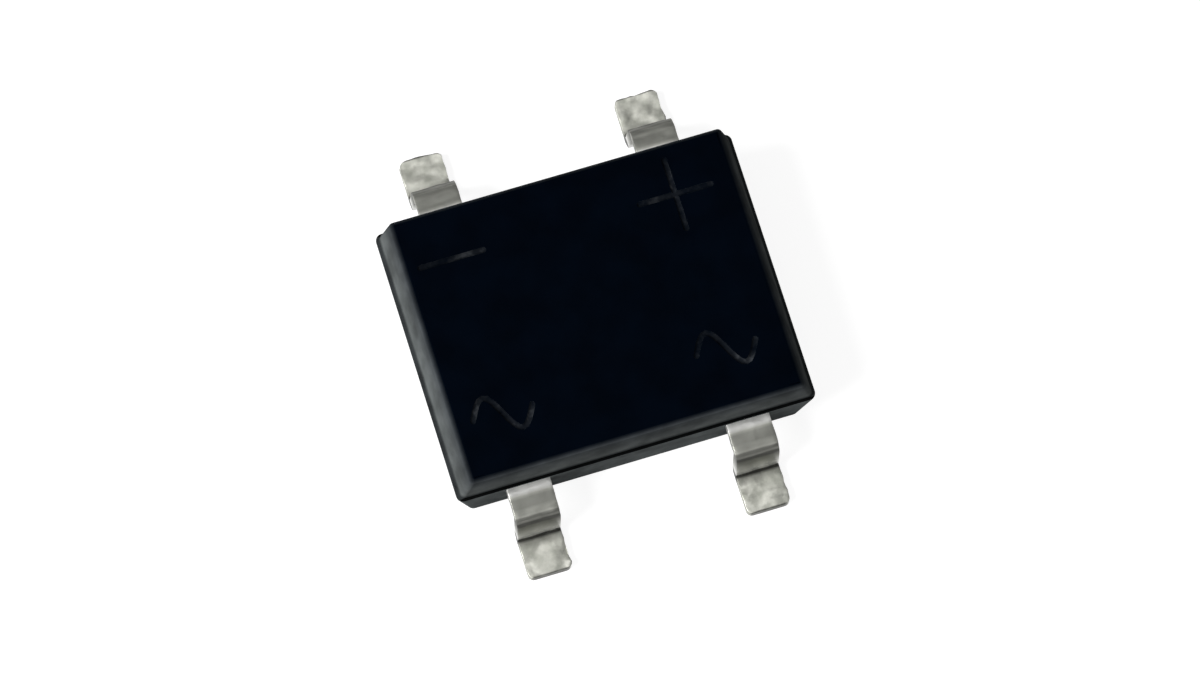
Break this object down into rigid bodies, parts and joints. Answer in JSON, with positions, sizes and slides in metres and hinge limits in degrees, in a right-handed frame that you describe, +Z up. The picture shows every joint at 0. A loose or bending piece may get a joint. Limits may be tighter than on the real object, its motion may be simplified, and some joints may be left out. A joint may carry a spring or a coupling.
{
  "type": "surface-mount bridge rectifier",
  "caption": "Flat black moulded rectifier package with drafted sides and a formed gull-wing lead near each end of both long sides; soldered diode chips and leadframe inside.",
  "frame": {"origin": "middle of the seating plane, on which the soles of the four feet stand", "axes": "+X along the body, +Y across it towards the positive and negative leads, +Z up to the marked face"},
  "size_m": [0.0082, 0.01, 0.0025],
  "materials": {
    "epoxy": "black moulded epoxy with a fine satin grain",
    "tinned_copper": "satin tin plating over copper alloy",
    "silicon": "dark grey silicon with glassed mesa edges",
    "solder": "dull reflowed solder"
  },
  "bodies": {
    "root": {"epoxy_moulding": "epoxy", "lead_positive": "tinned_copper", "lead_negative": "tinned_copper", "lead_ac_left": "tinned_copper", "lead_ac_right": "tinned_copper", "diode_chip_1": "silicon", "diode_chip_2": "silicon", "diode_chip_3": "silicon", "diode_chip_4": "silicon", "solder_1_lower": "solder", "solder_1_upper": "solder", "solder_2_lower": "solder", "solder_2_upper": "solder", "solder_3_lower": "solder", "solder_3_upper": "solder", "solder_4_lower": "solder", "solder_4_upper": "solder"}
  },
  "joints": []
}
